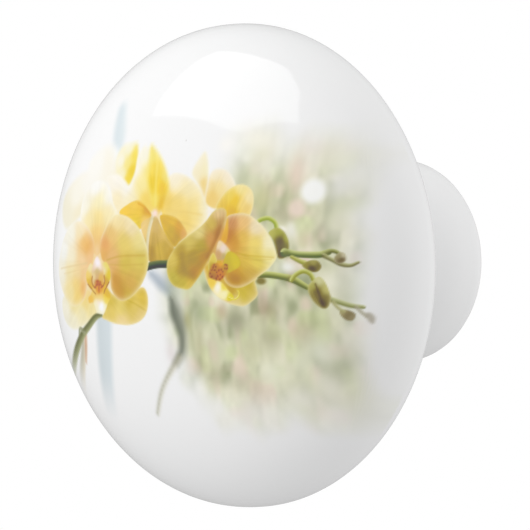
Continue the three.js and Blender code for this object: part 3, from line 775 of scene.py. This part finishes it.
# The left-hand bloom.
petal([(-9.7, -2), (-8.6, -3.9), (-9.4, -4.4), (-10.6, -4.8), (-11.8, -5.15), (-13, -5.15), (-14.1, -4.6),
     (-14.5, -3.6), (-14, -2.6), (-12, -2.4)],
    [(-9.6, -3.4, 238, 224, 160), (-10.8, -4, 240, 230, 184), (-12.4, -4.4, 242, 236, 206),
     (-13.6, -3.8, 243, 238, 216), (-12.2, -3.4, 240, 224, 160), (-10.2, -3, 240, 214, 130)], edge=0.14, soft=0.6,
    veins=(-8.8, -1.2, 0.03), rim=((247, 244, 226), 0.3, 0.6))
petal([(-7.6, -1.6), (-6.6, -2.2), (-5.4, -2.5), (-4.2, -2.1), (-3.3, -1.6), (-2.75, -1.7), (-2.45, -2.4),
     (-2.6, -3.4), (-3.3, -4.15), (-4.6, -4.55), (-6.2, -4.55), (-7.5, -4.3), (-8.2, -4), (-7.8, -3)],
    [(-7.2, -2.7, 212, 186, 66), (-7, -3.6, 226, 200, 100), (-5.6, -3.4, 228, 206, 108), (-4, -3.2, 226, 200, 100),
     (-3, -2.4, 216, 186, 70), (-4.6, -2.7, 212, 184, 66), (-5.6, -4.2, 240, 214, 150), (-3.4, -3.8, 234, 208, 130)],
    soft=0.5, veins=(-8.2, -1.4, 0.04), rim=((246, 228, 176), 0.2, 0.7),
    creases=[([(-4.9, -2.6), (-3.9, -2.9), (-2.7, -3.4)], 0.08, (190, 160, 40), 0.35)])
petal([(-11.1, 3.4), (-11.1, 4.9), (-10.4, 5.95), (-9.4, 6.6), (-8.3, 6.6), (-7.4, 6), (-6.8, 5), (-6.2, 4),
     (-7.2, 2.2), (-8.6, 0.8), (-10, 2)],
    [(-9.2, 6.2, 249, 248, 244), (-7.4, 5.4, 247, 244, 230), (-10.6, 4.6, 246, 242, 224), (-8.6, 5, 245, 236, 190),
     (-8.6, 3.8, 244, 222, 150), (-7.2, 4.2, 246, 232, 180), (-9.8, 3.6, 244, 228, 172), (-8.8, 2.6, 242, 206, 128),
     (-8.6, 1.6, 236, 190, 110)], edge=0.08, soft=0.6, veins=(-8.6, 0.6, 0.025), rim=((250, 248, 242), 0.4, 0.6))
spot(-8.7, -0.7, 1.9, 2, (238, 206, 132), 0.95, firm=0.35)
petal([(-9, 1.8), (-9.9, 2.9), (-11.2, 3.45), (-12.5, 3.2), (-13.6, 2.4), (-14.5, 1), (-14.9, -0.4), (-14.6, -1.6),
     (-13.6, -2.8), (-12.4, -3.35), (-11.2, -3.15), (-10.4, -2.6), (-10, -1.6), (-9.7, -0.6), (-9.2, 0.3)],
    [(-13.8, 1, 243, 243, 238), (-12.6, 2.4, 245, 242, 226), (-11, 2.6, 245, 230, 190), (-14.2, -0.8, 243, 238, 218),
     (-12.4, 0.6, 243, 234, 204), (-12.6, -0.6, 240, 224, 170), (-12.6, -2.2, 242, 224, 160),
     (-11.4, -2.6, 238, 206, 110), (-10.4, 1.8, 238, 190, 110), (-10, 1.3, 232, 176, 90), (-10.6, 0.4, 242, 210, 160),
     (-10.4, -0.8, 240, 200, 140), (-10.4, -1.9, 232, 170, 84), (-11.4, -0.6, 241, 216, 160),
     (-11.6, -1.6, 240, 210, 124), (-9.6, 0.6, 240, 196, 140)], edge=0.12, soft=0.6, veins=(-8.8, 0.3, 0.022),
    rim=((248, 245, 232), 0.35, 0.5),
    creases=[([(-10, 0.15), (-12, -0.1), (-14.4, -0.4)], 0.09, (222, 196, 140), 0.4),
     ([(-10, -0.25), (-12, -0.55), (-13.8, -0.8)], 0.06, (226, 200, 140), 0.3)])
petal([(-8.2, 1.9), (-7.3, 3.3), (-6.4, 4), (-5.4, 4), (-4.4, 3.65), (-3.4, 2.9), (-2.7, 1.9), (-2.35, 0.9),
     (-2.4, 0), (-2.8, -0.9), (-3.5, -1.75), (-4.5, -2.45), (-5.5, -2.7), (-6.3, -2.4), (-6.8, -1.8), (-6.95, -0.9),
     (-7.3, 0), (-8, 0.6)],
    [(-7.6, 1.7, 230, 170, 104), (-7.9, 1.1, 228, 176, 90), (-6.9, 2.4, 232, 196, 120), (-6.2, 3.6, 243, 224, 168),
     (-4.4, 3.2, 240, 222, 176), (-5.2, 1.8, 230, 206, 110), (-3.2, 2, 232, 216, 140), (-3.2, 0.4, 216, 196, 90),
     (-5, 0.3, 214, 190, 84), (-6.6, 0.6, 228, 184, 120), (-7, -0.2, 224, 176, 104), (-6.4, -1.2, 206, 152, 64),
     (-5.8, -2.2, 200, 150, 60), (-4.4, -1.4, 214, 172, 84), (-3.2, -0.8, 212, 182, 84), (-4.6, -2.2, 206, 172, 60)],
    soft=0.6, veins=(-8.3, 0.3, 0.03), rim=((246, 238, 200), 0.22, 0.65),
    creases=[([(-7.3, 0.45), (-5.6, 0.78), (-2.8, 0.9)], 0.09, (198, 160, 60), 0.45),
     ([(-7.2, 0.1), (-5.2, 0.1), (-3, 0.2)], 0.07, (200, 164, 70), 0.35)])
spot(-9.35, 1.75, 0.6, 0.7, (230, 172, 96), 0.35)
spot(-8.6, 1.15, 0.5, 0.75, (242, 208, 158), 0.8)
spot(-7.7, 1.7, 0.6, 0.65, (228, 164, 98), 0.4, turn=-30)
# Its side lobes, tongue, column and marks.
petal([(-9.9, -0.3), (-9.5, 0.15), (-9.15, -0.1), (-9.25, -0.7), (-9.3, -1.3), (-9, -1.9), (-9.5, -1.9), (-10, -1.4),
     (-10.15, -0.8)],
    [(-9.6, -0.2, 240, 224, 170), (-9.9, -0.8, 240, 208, 110), (-9.4, -1.4, 220, 176, 70),
     (-9.9, -1.4, 226, 184, 50)], edge=0.09, soft=0.3)
petal([(-7.9, 0.1), (-7.4, 0.3), (-6.95, -0.2), (-6.85, -0.9), (-7.2, -1.5), (-7.8, -2), (-7.6, -1.2), (-7.7, -0.5)],
    [(-7.4, 0, 234, 216, 110), (-7, -0.7, 226, 200, 56), (-7.5, -1.3, 210, 166, 50), (-7.7, -0.3, 236, 220, 180)],
    edge=0.08, soft=0.3)
petal([(-9.3, -1.9), (-8.9, -1.3), (-8.3, -1.1), (-7.7, -1.3), (-7.3, -1.8), (-6.9, -2.4), (-7.3, -3), (-7.7, -3.6),
     (-8.2, -4), (-8.8, -3.7), (-9.2, -3), (-9.8, -3), (-9.9, -2.6), (-9.5, -2.3)],
    [(-9.5, -2.7, 238, 192, 80), (-9.2, -2.2, 236, 206, 110), (-8.4, -1.9, 222, 150, 50), (-8.3, -2.5, 240, 210, 120),
     (-7.3, -2.2, 226, 184, 40), (-7.5, -2.7, 240, 214, 90), (-8.9, -3.1, 246, 238, 200), (-8.1, -3.3, 248, 248, 248),
     (-8.3, -3.8, 244, 240, 206), (-7.7, -3.3, 246, 238, 190)], edge=0.08, soft=0.22)
petal([(-9.35, -0.5), (-9, 0.3), (-8.6, 0.7), (-8.2, 0.4), (-7.85, -0.3), (-7.7, -1), (-8, -1.5), (-8.8, -1.6),
     (-9.2, -1.2)],
    [(-8.6, 0.4, 246, 232, 228), (-8.9, -0.1, 240, 214, 190), (-8.2, 0, 242, 220, 196), (-8.6, -0.45, 208, 182, 120),
     (-8.6, -0.9, 214, 176, 124), (-8.2, -1, 226, 184, 90), (-9, -0.9, 232, 208, 150), (-8.5, -1.4, 196, 120, 50)],
    edge=0.12, soft=0.22)
spot(-8.5, 0.15, 0.44, 0.36, (251, 243, 248), 0.95)
for curve, half in [
    ([(-9.25, -0.9), (-9.3, -1.3), (-9.1, -1.65), (-8.8, -1.75)], 0.06),
    ([(-9.9, -1.5), (-9.4, -1.85), (-9, -2.15), (-8.85, -2.25)], 0.05),
    ([(-7.65, -0.8), (-7.6, -1.2), (-7.75, -1.55), (-8, -1.65)], 0.06),
    ([(-7.05, -1.3), (-7.4, -1.7), (-7.65, -2), (-7.7, -2.15)], 0.05),
]:
    strand(curve, half, (150, 84, 34), (190, 130, 50), amount=0.85)
for dot_x, dot_z, wide, high, turn in [
    (-8.55, -1.25, 0.28, 0.12, 0), (-8.3, -1.5, 0.12, 0.12, 0), (-8.75, -1.6, 0.16, 0.08, 30),
    (-8.95, -1.75, 0.14, 0.08, 0), (-8.1, -1.5, 0.14, 0.08, -30), (-8, -1.7, 0.2, 0.08, 20),
    (-8.38, -1.85, 0.09, 0.34, 0), (-8.6, -1.5, 0.1, 0.1, 0), (-8.15, -1.3, 0.1, 0.08, 0),
]:
    spot(dot_x, dot_z, wide, high, (176, 84, 16), 0.8, turn=turn)
spot(-8.1, -3.2, 0.42, 0.5, (250, 250, 252), 0.85)
spot(-8.5, -2.9, 0.3, 0.3, (252, 236, 232), 0.5)
# The near stems.
strand([(-11.3, -5.5), (-11.2, -6.4), (-11.7, -7.6), (-12.6, -9.2), (-13.4, -10.6)], [0.22, 0.34, 0.42, 0.5, 0.5],
    (170, 166, 140), (212, 196, 160), edge=0.22, amount=0.75, fade=((-11.5, -7), (-13.4, -10.8)))
strand([(-10.7, -5.6), (-10.85, -6.6), (-11.2, -7.8)], [0.2, 0.18, 0.1], (196, 140, 104), (214, 170, 130), edge=0.16,
    amount=0.7)
strand([(-8.15, -3.95), (-9, -4.1), (-10.1, -4.85), (-11.2, -5.6), (-12.4, -6.7), (-13.6, -7.9), (-14.6, -8.7)],
    [0.1, 0.26, 0.3, 0.34, 0.4, 0.44, 0.45], (104, 108, 54), (158, 162, 112), edge=0.09,
    fade=((-12, -6.4), (-16.2, -10)))
strand([(-10.9, -5.3), (-11.5, -5.15), (-11.75, -5.6)], [0.2, 0.16, 0.1], (122, 126, 84), (170, 172, 140), edge=0.1,
    amount=0.8)


def linear(colour):
    """Display colours from 0 to 255 as the linear values that shaders use, by the sRGB curve."""
    c = np.clip(np.asarray(colour, float) / 255, 0, 1)
    return np.where(c <= 0.04045, c / 12.92, ((c + 0.055) / 1.055) ** 2.4)


GLAZE_LIFT = 0.05  # the glaze's own sheen lightens the inks, so they are fired that much deeper
ink = np.clip(linear(picture) * (1 + GLAZE_LIFT) - GLAZE_LIFT, 0.002, 1)


def mesh_object(name, points, faces, body="root"):
    """A smooth mesh from points in millimetres, with its edges over 40 degrees kept sharp."""
    mesh = bpy.data.meshes.new(name)
    mesh.from_pydata((np.asarray(points) * MM).tolist(), [], faces)
    mesh.polygons.foreach_set("use_smooth", np.ones(len(mesh.polygons), bool))
    mesh.set_sharp_from_angle(angle=math.radians(40))
    piece = bpy.data.objects.new(name, mesh)
    scene.collection.objects.link(piece)
    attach(piece, body)
    return piece


knob = mesh_object("glazed_knob", points, faces)
transfer = knob.data.color_attributes.new("transfer", "FLOAT_COLOR", "POINT")
transfer.data.foreach_set("color", np.column_stack([ink, np.ones(len(ink))]).astype(np.float32).ravel())
bake_map = knob.data.uv_layers.new(name="OFBake")
bake_map.uv.foreach_set("vector", np.concatenate(maps).astype(np.float32).ravel())
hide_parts("knob_body")


# Fine flaws that every fired or turned surface has: scattered round specks, and a slow cloudiness.
flaws = bpy.data.node_groups.new("flaws", "ShaderNodeTree")
for name, usual in (("Speck spacing", 0.004), ("Speck size", 0.08), ("Cloud size", 0.006)):
    flaws.interface.new_socket(name=name, in_out="INPUT", socket_type="NodeSocketFloat").default_value = usual
for name in ("Specks", "Cloud"):
    flaws.interface.new_socket(name=name, in_out="OUTPUT", socket_type="NodeSocketFloat")
given, result = flaws.nodes.new("NodeGroupInput").outputs, flaws.nodes.new("NodeGroupOutput").inputs
place = node(flaws, "TexCoord").outputs["Object"]
finer, vague = (maths(flaws, "DIVIDE", 1, given[name]) for name in ("Speck spacing", "Cloud size"))
speck = node(flaws, "TexVoronoi", feature="F1", Vector=place, Scale=finer)
cloudy = node(flaws, "TexNoise", Vector=place, Scale=vague, Detail=3.0, Roughness=0.55)
fill(flaws, result["Specks"], maths(flaws, "LESS_THAN", speck.outputs["Distance"], given["Speck size"]))
fill(flaws, result["Cloud"], cloudy.outputs["Fac"])


def with_flaws(tree, spacing, size, cloud_size):
    """The flaws group in a material: specks that far apart in metres, that big beside it, and clouds of that size."""
    made = node(tree, "Group", node_tree=flaws, Speck_spacing=spacing, Speck_size=size, Cloud_size=cloud_size)
    return made.outputs["Specks"], made.outputs["Cloud"]


# Glaze over the white body and its transfer. It pools a little, its gloss varies slightly, and it stops short of the
# ring that the foot stands on, which is bare biscuit.
glaze, tree = new_material("printed porcelain glaze")
place = node(tree, "TexCoord").outputs["Object"]
printed = node(tree, "Attribute", attribute_name="transfer", attribute_type="GEOMETRY").outputs["Color"]
specks, clouds = with_flaws(tree, 0.011, 0.012, 0.009)
pooled = blended(tree, ranged(tree, clouds, 0.3, 0.7, 0, 0.035), printed, (0.80, 0.86, 0.90, 1))
specked = blended(tree, ranged(tree, specks, 0, 1, 0, 0.2), pooled, (0.22, 0.17, 0.13, 1))
waver = node(tree, "TexNoise", Vector=place, Scale=420.0, Detail=2.0).outputs["Fac"]
stop = ranged(tree, waver, 0.3, 0.7, -0.00072, -0.00034)
above_seat = maths(tree, "SUBTRACT", node(tree, "SeparateXYZ", place).outputs["Y"], stop)
bare = ranged(tree, above_seat, -0.00006, 0.00006, way="SMOOTHSTEP")
grit = node(tree, "TexNoise", Vector=place, Scale=5200.0, Detail=4.0, Roughness=0.7).outputs["Fac"]
biscuit = blended(tree, grit, (0.62, 0.58, 0.50, 1), (0.82, 0.79, 0.72, 1))
gloss = ranged(tree, clouds, 0.3, 0.7, 0.045, 0.085)
ripple = node(tree, "TexNoise", Vector=place, Scale=260.0, Detail=1.5).outputs["Fac"]
height = blended(tree, bare, ripple, grit, "FLOAT")
surface = node(
    tree,
    "BsdfPrincipled",
    IOR=1.5,
    Base_Color=blended(tree, bare, specked, biscuit),
    Roughness=blended(tree, bare, gloss, 0.72, "FLOAT"),
    Normal=node(tree, "Bump", Strength=0.35, Distance=0.00004, Height=height).outputs["Normal"],
)
node(tree, "OutputMaterial", Surface=surface.outputs["BSDF"])
knob.data.materials.append(glaze)

# ---- Brass bush ----
# A turned brass bush with an M4 thread, knurled in two bands to key it into the cement, with a countersink at each
# mouth of its thread. It takes the screw that comes through the drawer front.
bush_low, bush_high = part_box("threaded_bush")
BUSH_RADIUS = bush_high.x / MM
BUSH_FRONT = bush_low.y / MM
BUSH_BACK = bush_high.y / MM
KNURL_DEPTH = 0.3
KNURL_TEETH = 24
KNURL_EDGE = 1.0  # plain land at each end
KNURL_GROOVE = 1.6  # and between the two bands
PLAIN_DEPTH = 0.4
KNURL_BLEND = 0.1  # half the length over which a band runs out
BUSH_CHAMFER = 0.2
THREAD_RADIUS = 2.0
THREAD_MINOR = 1.621
THREAD_PITCH = 0.7
THREAD_LEAD_IN = 0.25


def closed_tube(radius, y, around):
    """A closed ring of rows: row i has the radius radius[i, k] and the height y[i] at column k's angle, and the last
    row joins the first. Its faces point out where the rows run towards +Y on the outside."""
    turn = np.linspace(0, 2 * np.pi, around, endpoint=False)
    spots = np.stack([radius * np.cos(turn), np.broadcast_to(y[:, None], radius.shape), radius * np.sin(turn)], -1)
    i, k = np.meshgrid(np.arange(len(y)), np.arange(around), indexing="ij")
    i_next, k_next = (i + 1) % len(y), (k + 1) % around
    quads = np.stack([i * around + k, i_next * around + k, i_next * around + k_next, i * around + k_next], -1)
    return spots.reshape(-1, 3), quads.reshape(-1, 4).tolist()


BUSH_AROUND = 144
BUSH_ROWS = 96
BORE_ROWS = 240
END_STEPS = 4
bush_turn = np.linspace(0, 2 * np.pi, BUSH_AROUND, endpoint=False)
outer_y = np.linspace(BUSH_FRONT, BUSH_BACK, BUSH_ROWS + 1)
from_end = np.minimum(outer_y - BUSH_FRONT, BUSH_BACK - outer_y)
from_middle = abs(outer_y - (BUSH_FRONT + BUSH_BACK) / 2)
knurled = ease(KNURL_EDGE - KNURL_BLEND, KNURL_EDGE + KNURL_BLEND, from_end)
knurled *= ease(KNURL_GROOVE / 2 - KNURL_BLEND, KNURL_GROOVE / 2 + KNURL_BLEND, from_middle)
teeth = np.abs(((bush_turn * KNURL_TEETH / (2 * np.pi)) % 1) - 0.5) * 2  # a triangle wave, 1 on each crest
plain = BUSH_RADIUS - PLAIN_DEPTH
crests = BUSH_RADIUS - KNURL_DEPTH * (1 - teeth)[None, :]
outer_r = plain + (crests - plain) * knurled[:, None]
# The chamfer takes hold on the plain ends alone.
outer_r = np.minimum(outer_r, plain - BUSH_CHAMFER + np.clip(from_end, 0, None)[:, None] + 10 * knurled[:, None])
bore_y = np.linspace(BUSH_BACK, BUSH_FRONT, BORE_ROWS + 1)
phase = ((bore_y[:, None] + THREAD_PITCH * bush_turn[None, :] / (2 * np.pi)) / THREAD_PITCH) % 1
ridge = np.clip(np.abs(phase - 0.5) * 2 * 1.25 - 0.06, 0, 1)  # flat crests and roots with straight flanks
bore_r = THREAD_RADIUS - (THREAD_RADIUS - THREAD_MINOR) * ridge
mouth = np.minimum(bore_y - BUSH_FRONT, BUSH_BACK - bore_y)
bore_r = np.maximum(bore_r, (THREAD_RADIUS + THREAD_LEAD_IN - mouth)[:, None])
faces_out = np.linspace(0, 1, END_STEPS + 1)[1:-1]
back_r = outer_r[-1] + (bore_r[0] - outer_r[-1]) * faces_out[:, None]
front_r = bore_r[-1] + (outer_r[0] - bore_r[-1]) * faces_out[:, None]
bush_points, bush_faces = closed_tube(
    np.concatenate([outer_r, back_r, bore_r, front_r]),
    np.concatenate([outer_y, np.full(len(back_r), BUSH_BACK), bore_y, np.full(len(front_r), BUSH_FRONT)]),
    BUSH_AROUND,
)
bush = mesh_object("tapped_bush", bush_points, bush_faces)
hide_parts("threaded_bush")

LATHE_FEED = 0.00012
brass, tree = new_material("turned brass")
specks, clouds = with_flaws(tree, 0.0007, 0.10, 0.0016)
tarnish = ranged(tree, clouds, 0.38, 0.72, way="SMOOTHSTEP")
toned = blended(tree, tarnish, (0.72, 0.50, 0.21, 1), (0.46, 0.30, 0.13, 1))
pitted = blended(tree, ranged(tree, specks, 0, 1, 0, 0.6), toned, (0.16, 0.10, 0.05, 1))
axis = node(tree, "SeparateXYZ", node(tree, "TexCoord").outputs["Object"]).outputs
from_axis = node(tree, "CombineXYZ", axis["X"], axis["Z"]).outputs["Vector"]
reach = node(tree, "VectorMath", from_axis, operation="LENGTH").outputs["Value"]
turned = maths(tree, "SINE", maths(tree, "MULTIPLY", reach, 2 * math.pi / LATHE_FEED))
surface = node(
    tree,
    "BsdfPrincipled",
    Metallic=1.0,
    Base_Color=pitted,
    Roughness=ranged(tree, clouds, 0.3, 0.75, 0.20, 0.46),
    Normal=node(tree, "Bump", Strength=0.25, Distance=0.00001, Height=turned).outputs["Normal"],
)
node(tree, "OutputMaterial", Surface=surface.outputs["BSDF"])
bush.data.materials.append(brass)

# ---- Cement ----
# A ring of set cement that holds the bush in its pocket. It was poured from the foot's side and has shrunk back a
# little there, so its face is dished and rough.
cement_low, cement_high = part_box("bush_cement")
CEMENT_OUTER = cement_high.x / MM
BED = 0.06  # between the cement and the bush
CEMENT_INNER = BUSH_RADIUS + BED
CEMENT_BACK = cement_high.y / MM
CEMENT_FRONT = cement_low.y / MM
CEMENT_DIP = 0.25
CEMENT_AROUND = 160
CEMENT_ROWS = 9
CEMENT_LUMPS = 0.13
across = np.linspace(0, 1, 13)
dished_y = CEMENT_BACK - 4 * CEMENT_DIP * across * (1 - across)
cement_r = np.concatenate(
    [
        np.full(CEMENT_ROWS, CEMENT_OUTER),
        CEMENT_OUTER + (CEMENT_INNER - CEMENT_OUTER) * across,
        np.full(CEMENT_ROWS, CEMENT_INNER),
        CEMENT_INNER + (CEMENT_OUTER - CEMENT_INNER) * across[2:-2],
    ]
)
sides = np.linspace(CEMENT_FRONT, CEMENT_BACK, CEMENT_ROWS + 1)
cement_y = np.concatenate([sides[:-1], dished_y, sides[::-1][1:], np.full(len(across) - 4, CEMENT_FRONT)])
cement_points, cement_faces = closed_tube(
    np.broadcast_to(cement_r[:, None], (len(cement_r), CEMENT_AROUND)), cement_y, CEMENT_AROUND
)
x, y, z = cement_points.T
lumps = cloud(x, z, 0.16, 0.16, 31) + 0.5 * cloud(x, z, 0.07, 0.07, 32)
middle = abs(np.hypot(x, z) - (CEMENT_OUTER + CEMENT_INNER) / 2) < 0.36  # clear of the face's two edges
cement_points[:, 1] -= CEMENT_LUMPS * lumps * (middle & (y > CEMENT_BACK - CEMENT_DIP - 0.01))
cement = mesh_object("cement_ring", cement_points, cement_faces)
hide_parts("bush_cement")

set_cement, tree = new_material("set cement")
place = node(tree, "TexCoord").outputs["Object"]
specks, clouds = with_flaws(tree, 0.0005, 0.22, 0.0012)
grains = node(tree, "TexNoise", Vector=place, Scale=6500.0, Detail=5.0, Roughness=0.7).outputs["Fac"]
toned = blended(tree, clouds, (0.44, 0.41, 0.36, 1), (0.66, 0.63, 0.57, 1))
grained = blended(tree, ranged(tree, grains, 0.35, 0.7, 0, 0.5), toned, (0.78, 0.75, 0.68, 1))
pored = blended(tree, ranged(tree, specks, 0, 1, 0, 0.7), grained, (0.2, 0.18, 0.15, 1))
bump = node(tree, "Bump", Strength=0.6, Distance=0.00005, Height=grains)
surface = node(tree, "BsdfPrincipled", Roughness=0.9, Base_Color=pored, Normal=bump.outputs["Normal"])
node(tree, "OutputMaterial", Surface=surface.outputs["BSDF"])
cement.data.materials.append(set_cement)

low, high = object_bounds()
